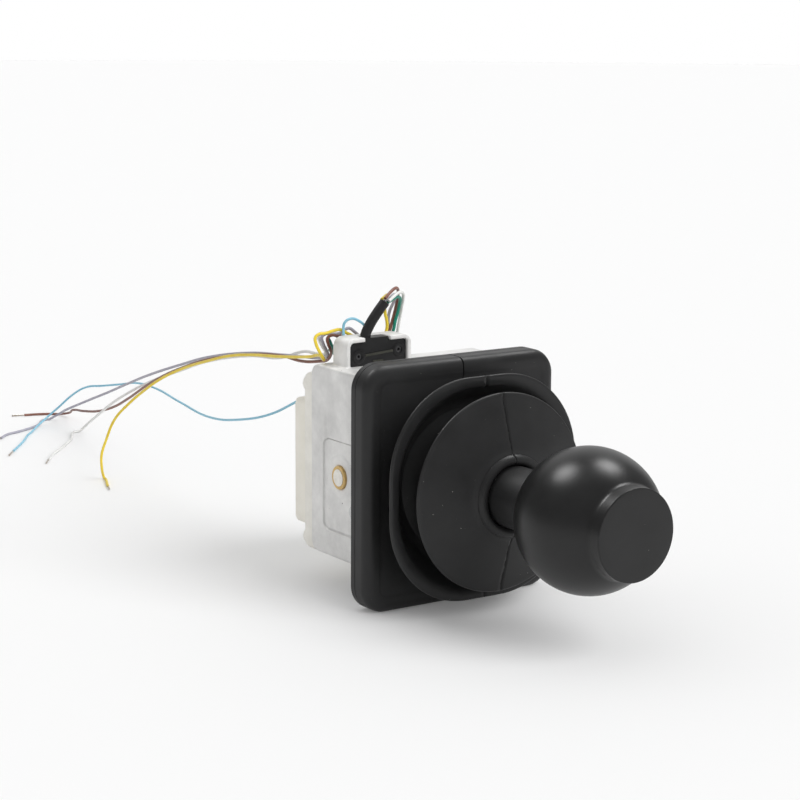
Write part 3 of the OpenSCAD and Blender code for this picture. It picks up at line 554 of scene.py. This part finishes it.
fillet_at = (LAND_R + FILLET,
    BALL_Y + math.sqrt((BALL_R + FILLET) ** 2 - (LAND_R + FILLET) ** 2))
lean = math.degrees(math.atan2(fillet_at[1] - BALL_Y, fillet_at[0]))
mouth = math.degrees(math.acos((SLEEVE_R + MOUTH_GAP) / BALL_R))
profile = [(0, LAND_Y), (6, LAND_Y), (12, LAND_Y)]
profile += arc((LAND_R - EDGE, LAND_Y - EDGE), EDGE, 90, 0, 6)
profile += arc(fillet_at, FILLET, 180, 180 + lean, 12)[1:]
profile += arc((0, BALL_Y), BALL_R, lean, -mouth, 72)[1:]
profile += [(SLEEVE_R + 0.1, 61.9), (SLEEVE_R + 0.02, SLEEVE_END), (7.5, SLEEVE_END),
    (0, SLEEVE_END)]
knob = turned("ball_knob", profile, steps=160)
replace_with(knob, "lever", "knob_plastic", "knob")
print("knob across:", round(knob.dimensions.x / MM, 1), "mm")

# %% [markdown]
# ## The rubber boot
#
# One moulding covers the lever: a thick flange that is clamped to the panel, an outer
# fold shaped like a rounded square, a round disc with a shallow cone, a web that joins
# the two at their roots, and a ring that grips the lever. It is made in pieces: the
# flange rides on the housing and the ring on the lever.
#
# The boot's mould opens along its middle plane. Where the halves met, the rubber shows
# a fine ragged line over every fold. That line is cut and not painted: a thin blade
# follows the piece's own profile on the middle plane, wanders a little to the sides,
# and is subtracted above the lever and once more, mirrored, below it.


# %% Helpers that cut
def apply_modifiers(obj):
    """Bakes an object's modifiers into its mesh."""
    graph = bpy.context.evaluated_depsgraph_get()
    baked = bpy.data.meshes.new_from_object(obj.evaluated_get(graph))
    obj.modifiers.clear()
    obj.data = baked


def cut(obj, cutter):
    """Subtracts one object from another and throws the cutter away."""
    step = obj.modifiers.new("cut", "BOOLEAN")
    step.operation = "DIFFERENCE"
    step.object = cutter
    apply_modifiers(obj)
    bpy.data.objects.remove(cutter)


# %% The parting line
SEAM_HALF_WIDTH, SEAM_DEPTH = 0.2, 0.45
SEAM_PITCH = 0.7  # from one section of the blade to the next
SEAM_WANDER, SEAM_WAVE = 0.3, 2.2


def ragged_offset(y, z):
    """How far the parting line strays sideways at a point."""
    slow = noise.noise(Vector((0, y / SEAM_WAVE, z / SEAM_WAVE)))
    return SEAM_WANDER * slow + SEAM_WANDER * noise.noise(Vector((3, y, z)))


def resampled(path):
    """A path of (z, y) points with a point every pitch or so."""
    fine = []
    for (az, ay), (bz, by) in zip(path, path[1:]):
        count = max(1, round(math.hypot(bz - az, by - ay) / SEAM_PITCH))
        fine += [(az + (bz - az) * k / count, ay + (by - ay) * k / count)
            for k in range(count)]
    return fine + [path[-1]]


def seam_blade(path):
    """A thin ragged ribbon from below a path of (z, y) on the middle plane to above it."""
    bm = bmesh.new()
    ring, edges = first_ring(bm, segments=4, radius=1)
    first_edges = edges
    fine = resampled(path)
    for k, (z, y) in enumerate(fine):
        before, after = fine[max(k - 1, 0)], fine[min(k + 1, len(fine) - 1)]
        along = Vector((after[0] - before[0], after[1] - before[1])).normalized()
        out = Vector((-along.y, along.x))
        x = ragged_offset(y, z)
        wide = SEAM_HALF_WIDTH * (1 + 0.5 * noise.noise(Vector((9, y / 1.5, z / 1.5))))
        if k:
            fresh, edges = next_ring(bm, edges)
            grown_from = {v: next(e.other_vert(v) for e in v.link_edges
                if e.other_vert(v) in ring) for v in fresh}
            ring = [next(v for v in fresh if grown_from[v] == old) for old in ring]
        corners = ((-wide, -SEAM_DEPTH), (wide, -SEAM_DEPTH), (wide * 2, 1), (-wide * 2, 1))
        for vert, (side, rise) in zip(ring, corners):
            vert.co = Vector((x + side, -(y + out.y * rise), z + out.x * rise)) * MM
    bmesh.ops.contextual_create(bm, geom=first_edges)
    bmesh.ops.contextual_create(bm, geom=edges)
    return object_from(bm, "blade")


def cut_seam(obj, path):
    """Cuts the parting line along a path above the lever and along its mirror below it."""
    cut(obj, seam_blade(path))
    cut(obj, seam_blade([(-z, y) for z, y in reversed(path)]))


# %% Helpers for the flange
def rounded_slab(width, height, corner, y0, y1):
    """A slab with round corners across the lever, between two places on Y, as a bmesh."""
    bm = bmesh.new()
    bmesh.ops.create_cube(bm, size=1)
    bmesh.ops.scale(bm, verts=bm.verts, vec=(width * MM, (y1 - y0) * MM, height * MM))
    bmesh.ops.translate(bm, verts=bm.verts, vec=(0, (y0 + y1) / 2 * MM, 0))
    long_edges = [e for e in bm.edges if abs(e.verts[0].co.y - e.verts[1].co.y) > 1e-6]
    bmesh.ops.bevel(bm, geom=long_edges, offset=corner * MM, segments=12, profile=0.5,
        affect="EDGES", material=-1)
    return bm


def slab(name, *sizes):
    """A rounded slab as an object, to cut with."""
    return object_from(rounded_slab(*sizes), name)


def front_face(bm):
    """The face of a bmesh that is furthest forward."""
    return min(bm.faces, key=lambda f: f.calc_center_median().y)


SHARP_ANGLE = math.radians(38)


def even_shading(obj):
    """Smooth shading that follows the large faces and breaks at sharp angles."""
    obj.data.shade_smooth()
    obj.data.set_sharp_from_angle(angle=SHARP_ANGLE)
    weighted = obj.modifiers.new("weighted", "WEIGHTED_NORMAL")
    weighted.keep_sharp = True
    apply_modifiers(obj)


# %% [markdown]
# The flange is a slab whose front edge is rolled over. Three insets draw the shallow
# steps of its face, a pocket behind takes the steel plate, and a ring-shaped cutter
# leaves the fine groove round its side. The cuts divide the large faces, so the normals
# are weighted by area at the end, which keeps the flat faces flat in the light.

# %% The flange
FLANGE_W, FLANGE_H, FLANGE_T, FLANGE_CORNER = 84.3, 91.0, 10.0, 9.5
FRONT_EDGE = 3.6
FACE_STEPS = ((1.6, 0), (0.9, -0.18), (1.1, -0.22))  # how far in, and how far back
POCKET = (80.4, 87, 4.5, -4, 1)  # width, height, corner, and its two ends on Y
GROOVE_DEPTH = 0.3
BORE_R = 30

bm = rounded_slab(FLANGE_W, FLANGE_H, FLANGE_CORNER, -FLANGE_T, 0)
bmesh.ops.bevel(bm, geom=list(front_face(bm).edges), offset=FRONT_EDGE * MM, segments=8,
    profile=0.5, affect="EDGES", material=-1)
face = front_face(bm)
for inwards, forwards in FACE_STEPS:
    bmesh.ops.inset_region(bm, faces=[face], thickness=inwards * MM, depth=forwards * MM)
flange = object_from(bm, "boot_flange_skin")
cut(flange, slab("pocket", *POCKET))
groove_ring = slab("groove", FLANGE_W + 2, FLANGE_H + 2, FLANGE_CORNER, -2.75, -2.45)
cut(groove_ring, slab("core", FLANGE_W - 2 * GROOVE_DEPTH, FLANGE_H - 2 * GROOVE_DEPTH,
    FLANGE_CORNER - GROOVE_DEPTH, -4, -1))
cut(flange, turned("bore", [(0, -1), (BORE_R, -1), (BORE_R, 12), (0, 12)], steps=96))
cut(flange, groove_ring)
cut_seam(flange, [(33, 9.75), (38, 9.75), (41.9, 9.95), (43.6, 9.4), (44.9, 8), (45.5, 6.4),
    (45.5, 0.2)])
even_shading(flange)
replace_with(flange, "housing", "boot_rubber", "boot_flange")
print("flange:", [round(d / MM, 1) for d in flange.dimensions])

# %% [markdown]
# The outer fold is a bell whose plan is a rounded square at the lip and a circle at the
# root. It is lofted: a circle of points is pushed into each ring's shape and extruded to
# the next, down the outside and back up the inside.


# %% Helpers for the outer fold
def rounded_reach(half, corner, angle):
    """Distance from the middle to a rounded square's edge, at an angle."""
    c, s = abs(math.cos(angle)), abs(math.sin(angle))
    big, small = max(c, s), min(c, s)
    straight = half - corner
    if half * small / big <= straight:
        return half / big
    across = straight * (big - small)
    return straight * (big + small) + math.sqrt(max(0, corner ** 2 - across ** 2))


def lofted(rows, sides=144):
    """A closed wall of rounded squares, as a bmesh: rows of (half width, corner radius, y)."""
    bm = bmesh.new()
    ring, edges = first_ring(bm, segments=sides, radius=1)
    angle_of = [math.atan2(v.co.y, v.co.x) for v in ring]
    first_edges = edges
    for k, (half, corner, y) in enumerate(rows):
        if k:
            ring, edges = next_ring(bm, edges)
            angle_of = [math.atan2(v.co.z, v.co.x) for v in ring]
        for vert, angle in zip(ring, angle_of):
            reach = rounded_reach(half, corner, angle)
            vert.co = Vector((reach * math.cos(angle), -y, reach * math.sin(angle))) * MM
    bmesh.ops.bridge_loops(bm, edges=first_edges + edges)
    return bm


# %% The outer fold
OUTER_ROWS = [(26.5, 26.4, 9.7), (30.5, 30.2, 9.9), (33, 33, 10), (33.3, 33.1, 11.2),
    (33.9, 33.1, 13.6), (35.3, 33.1, 16.2), (37.4, 33.3, 18.8), (39.4, 33.5, 21),
    (40.6, 33.6, 22.6), (41.0, 33.6, 23.2), (41.1, 33.6, 23.7), (41.0, 33.6, 24.1),
    (40.6, 33.3, 24.38), (40.1, 33, 24.42), (39.2, 32.7, 24.35), (37.7, 32.3, 23.9),
    (37.0, 32.1, 23.4), (36.4, 32, 22.3), (35, 31.8, 20.2), (33.2, 31.4, 16.8),
    (31.6, 30.8, 13.6), (30.2, 30, 11.6), (27, 26.9, 10.6), (26.5, 26.4, 10.5)]
OUTER_SEEN = slice(3, 18)  # the rows that show, from the root to inside the lip

outer_fold = object_from(lofted(OUTER_ROWS), "boot_outer_fold_skin")
cut_seam(outer_fold, [(half, y) for half, _, y in OUTER_ROWS[OUTER_SEEN]][::-1])
stand_in(outer_fold, "boot_rubber", "boot_outer_fold")
print("outer fold:", [round(d / MM, 1) for d in outer_fold.dimensions])

# %% The disc and its cone
DISC = [(20.6, 20), (21.6, 22.5), (25, 26.8), (30.5, 29.9), (34.6, 31.9), (35.9, 32.6),
    (36.35, 33.1), (36.4, 33.5), (36.15, 33.95), (35.6, 34.2), (34.6, 34.35), (32, 34.9),
    (28, 36.1), (24, 37.4), (20.6, 38.5), (18.6, 39.15), (17.2, 39.65), (16.2, 40.15),
    (15.5, 40.7), (14.9, 41), (14.6, 38.4), (20, 36.8), (27, 34.4), (31.6, 32.6),
    (27, 30.2), (22.6, 27.4), (20.2, 23.6), (19.4, 20)]
DISC_SEEN = slice(5, 19)

inner_fold = turned("boot_disc_skin", DISC, steps=144, closed=True)
cut_seam(inner_fold, DISC[DISC_SEEN][::-1])
stand_in(inner_fold, "boot_rubber", "boot_inner_fold")
print("disc across:", round(inner_fold.dimensions.x / MM, 1), "mm")

# %% The web that joins the folds at their roots
WEB = [(29, 9.8), (27.4, 10.6), (24.6, 12.6), (22.6, 15.4), (21.8, 18.4), (21.4, 21.2),
    (20.7, 21.2), (21, 18.2), (21.8, 14.8), (24, 11.8), (27, 9.8), (28.8, 9.2)]

web = turned("boot_root_skin", WEB, steps=144, closed=True)
stand_in(web, "boot_rubber", "boot_inner_fold")

# %% The ring that grips the lever
COLLAR = [(11.22, 37), (14, 37), (15.2, 38.6), (15.35, 40.2), (15.15, 41), (14.75, 41.7),
    (14.1, 42.3), (13.4, 42.58), (12.8, 42.52), (12.2, 42.2), (11.75, 41.8),
    (11.45, 41.3), (11.35, 40.6)]
COLLAR_SEEN = slice(3, None)

collar = turned("boot_collar_skin", COLLAR, steps=144, closed=True)
cut_seam(collar, COLLAR[COLLAR_SEEN][::-1])
replace_with(collar, "lever", "boot_rubber", "boot_collar")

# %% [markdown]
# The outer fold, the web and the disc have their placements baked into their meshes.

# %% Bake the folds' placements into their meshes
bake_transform(outer_fold)
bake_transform(web)
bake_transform(inner_fold)

# %% [markdown]
# ## The lever's sleeve
#
# A plain moulded tube joins the boot to the knob. It is turned too, and narrows a
# little just inside the knob's mouth.

# %% The lever's sleeve
SLEEVE_BORE = SLEEVE_R - 4

sleeve = turned("lever_sleeve_skin", [(SLEEVE_BORE, 30), (SLEEVE_R, 30), (SLEEVE_R, 41),
    (SLEEVE_R, 52), (SLEEVE_R, 61), (SLEEVE_R - 0.15, 63.4), (SLEEVE_BORE, 63.4)], closed=True)
sleeve.data.set_sharp_from_angle(angle=SHARP_ANGLE)
replace_with(sleeve, "lever", "sleeve_plastic", "lever_sleeve")

# %% [markdown]
# ## The casting
#
# Die-cast alloy never has a sharp edge: the mould is rounded so that the metal flows.
# A copy of the CAD solid is remeshed into small even faces and relaxed a little, which
# rounds every edge and fills every inner corner by about half a millimetre. The fine
# groove round the flank's raised panel is cut afterwards, so that it stays crisp.


# %% Helpers for cast and moulded boxes
def softened(node, name, voxel, relax, keep):
    """A copy of a CAD solid with soft edges: voxel size, smoothing steps, share of faces kept."""
    data = nodes[node].data.copy()
    bm = bmesh.new()
    bm.from_mesh(data)
    bmesh.ops.remove_doubles(bm, verts=bm.verts, dist=2e-6)
    bm.to_mesh(data)
    bm.free()
    obj = linked(name, data)
    remesh = obj.modifiers.new("remesh", "REMESH")
    remesh.mode = "VOXEL"
    remesh.voxel_size = voxel * MM
    relaxing = obj.modifiers.new("relax", "SMOOTH")
    relaxing.factor = 0.5
    relaxing.iterations = relax
    thin = obj.modifiers.new("thin", "DECIMATE")
    thin.ratio = keep
    apply_modifiers(obj)
    obj.data.shade_smooth()
    print(name, "has", len(obj.data.polygons), "faces")
    return obj


def side_slab(depth, height, corner, x0, x1, y, z):
    """A slab with round corners that lies across X, centred on (y, z), as an object."""
    bm = rounded_slab(depth, height, corner, -x1, -x0)
    quarter = Matrix.Rotation(math.radians(90), 3, "Z")
    bmesh.ops.rotate(bm, verts=bm.verts, matrix=quarter)
    bmesh.ops.translate(bm, verts=bm.verts, vec=(0, y * MM, z * MM))
    return object_from(bm, "side_slab")


# %% The casting and its groove
PANEL_AT = (16.9, -3.9)  # the middle of the flank's panel, as (y, z)

housing = softened("housing", "housing_casting", 0.42, 2, keep=0.3)
panel_groove = side_slab(24.4, 34.8, 3.4, -37, -34.9, *PANEL_AT)
cut(panel_groove, side_slab(23.5, 33.9, 3, -38, -34, *PANEL_AT))
cut(housing, panel_groove)
replace_with(housing, "housing", "cast_alloy", "housing")

# %% The other boxes
for node, name, slot, voxel, relax in (
        ("rear_plate", "rear_plate_casting", "cover_alloy", 0.42, 2),
        ("rear_box", "rear_box_shell", "box_cream", 0.5, 3),
        ("clamp_block", "clamp_block_moulding", "black_plastic", 0.22, 2)):
    replace_with(softened(node, name, voxel, relax, keep=0.4), "housing", slot, node)

# %% [markdown]
# ## The wire sleeve
#
# A short black tube holds the six wires together where they leave the clamp. Its end is
# cut square and the wires come out of it.

# %% The wire sleeve
MOUTH = [(-21.6, 22.4, 47.3), (-21.6, 22.4, 51.2), (-20.2, 21.9, 54.8), (-17.5, 20.9, 59.4),
    (-14.6, 20, 63.5)]
SLEEVE_TUBE_R = 1.93

wire_sleeve = soft_curve("wire_sleeve_skin", MOUTH, SLEEVE_TUBE_R, sides=10)
replace_with(wire_sleeve, "housing", "sleeve_black", "wire_sleeve")

# %% [markdown]
# ## The stage
#
# The joystick rests on a white table in front of a white background. Both are white to
# the camera, while the light itself stays at a plain level, so that the metal keeps its
# own grey and the table keeps a soft shadow. Polished black shows whatever it mirrors:
# in reflections the room is dim and three lamps stand in for its bright windows, and
# the front lamp, which gives the shadow, isn't mirrored at all.

# %% The table
TABLE_RADIUS = 6
TABLE_GLOW = 0.1  # lifts the table to white where it is seen or mirrored

bm = bmesh.new()
bmesh.ops.create_circle(bm, cap_ends=True, radius=TABLE_RADIUS, segments=64)
table = object_from(bm, "table")
table.location = (0, 0, cad_box[0][2])
white = bpy.data.materials.new("table_white")
white.use_nodes = True
tree = white.node_tree
shader = tree.nodes["Principled BSDF"]
shader.inputs["Base Color"].default_value = (0.82, 0.82, 0.82, 1)
shader.inputs["Roughness"].default_value = 0.9
shader.inputs["Specular IOR Level"].default_value = 0.1
shader.inputs["Emission Color"].default_value = (1, 1, 1, 1)
path = tree.nodes.new("ShaderNodeLightPath")
seen = maths(tree, "MAXIMUM", path.outputs["Is Camera Ray"], path.outputs["Is Glossy Ray"])
seen = maths(tree, "MAXIMUM", seen, path.outputs["Is Transmission Ray"])
tree.links.new(maths(tree, "MULTIPLY", seen, TABLE_GLOW), shader.inputs["Emission Strength"])
table.data.materials.append(white)

# %% The world
WORLD_SEEN, WORLD_MIRRORED, WORLD_PLAIN = 1, 0.21, 0.68

world = bpy.data.worlds.new("studio")
bpy.context.scene.world = world
world.use_nodes = True
tree = world.node_tree
tree.nodes.clear()
path = tree.nodes.new("ShaderNodeLightPath")
seen, mirrored, plain = (
    add_node(tree, "ShaderNodeBackground", Color=(1, 1, 1, 1), Strength=level).outputs[0]
    for level in (WORLD_SEEN, WORLD_MIRRORED, WORLD_PLAIN))
either = add_node(tree, "ShaderNodeMixShader",
    [(0, path.outputs["Is Glossy Ray"]), (1, plain), (2, mirrored)])
either = add_node(tree, "ShaderNodeMixShader",
    [(0, path.outputs["Is Camera Ray"]), (1, either.outputs[0]), (2, seen)])
add_node(tree, "ShaderNodeOutputWorld", [("Surface", either.outputs[0])])


# %% The front lamp, and lamps that only shine in reflections
def soft_sun(name, towards, strength, spread):
    """A wide, even lamp that shines from a direction, spread in degrees."""
    data = bpy.data.lights.new(name, "SUN")
    data.energy = strength
    data.angle = math.radians(spread)
    lamp = linked(name, data)
    lamp.rotation_euler = Vector(towards).to_track_quat("Z", "Y").to_euler()
    return lamp


front = soft_sun("front", (0.28, -0.72, 0.63), 1.9, 40)
front.visible_glossy = False
for lamp in (soft_sun("lamp_left", (-0.24, 0.432, 0.869), 1.75, 22),
        soft_sun("lamp_right", (0.47, 0.078, 0.879), 1.55, 22),
        soft_sun("backdrop", (0.5, 0.82, 0.27), 0.7, 70)):
    lamp.visible_diffuse = False

bpy.context.scene.view_settings.view_transform = "Standard"

# %% Update the scene, and finish
bpy.context.view_layer.update()
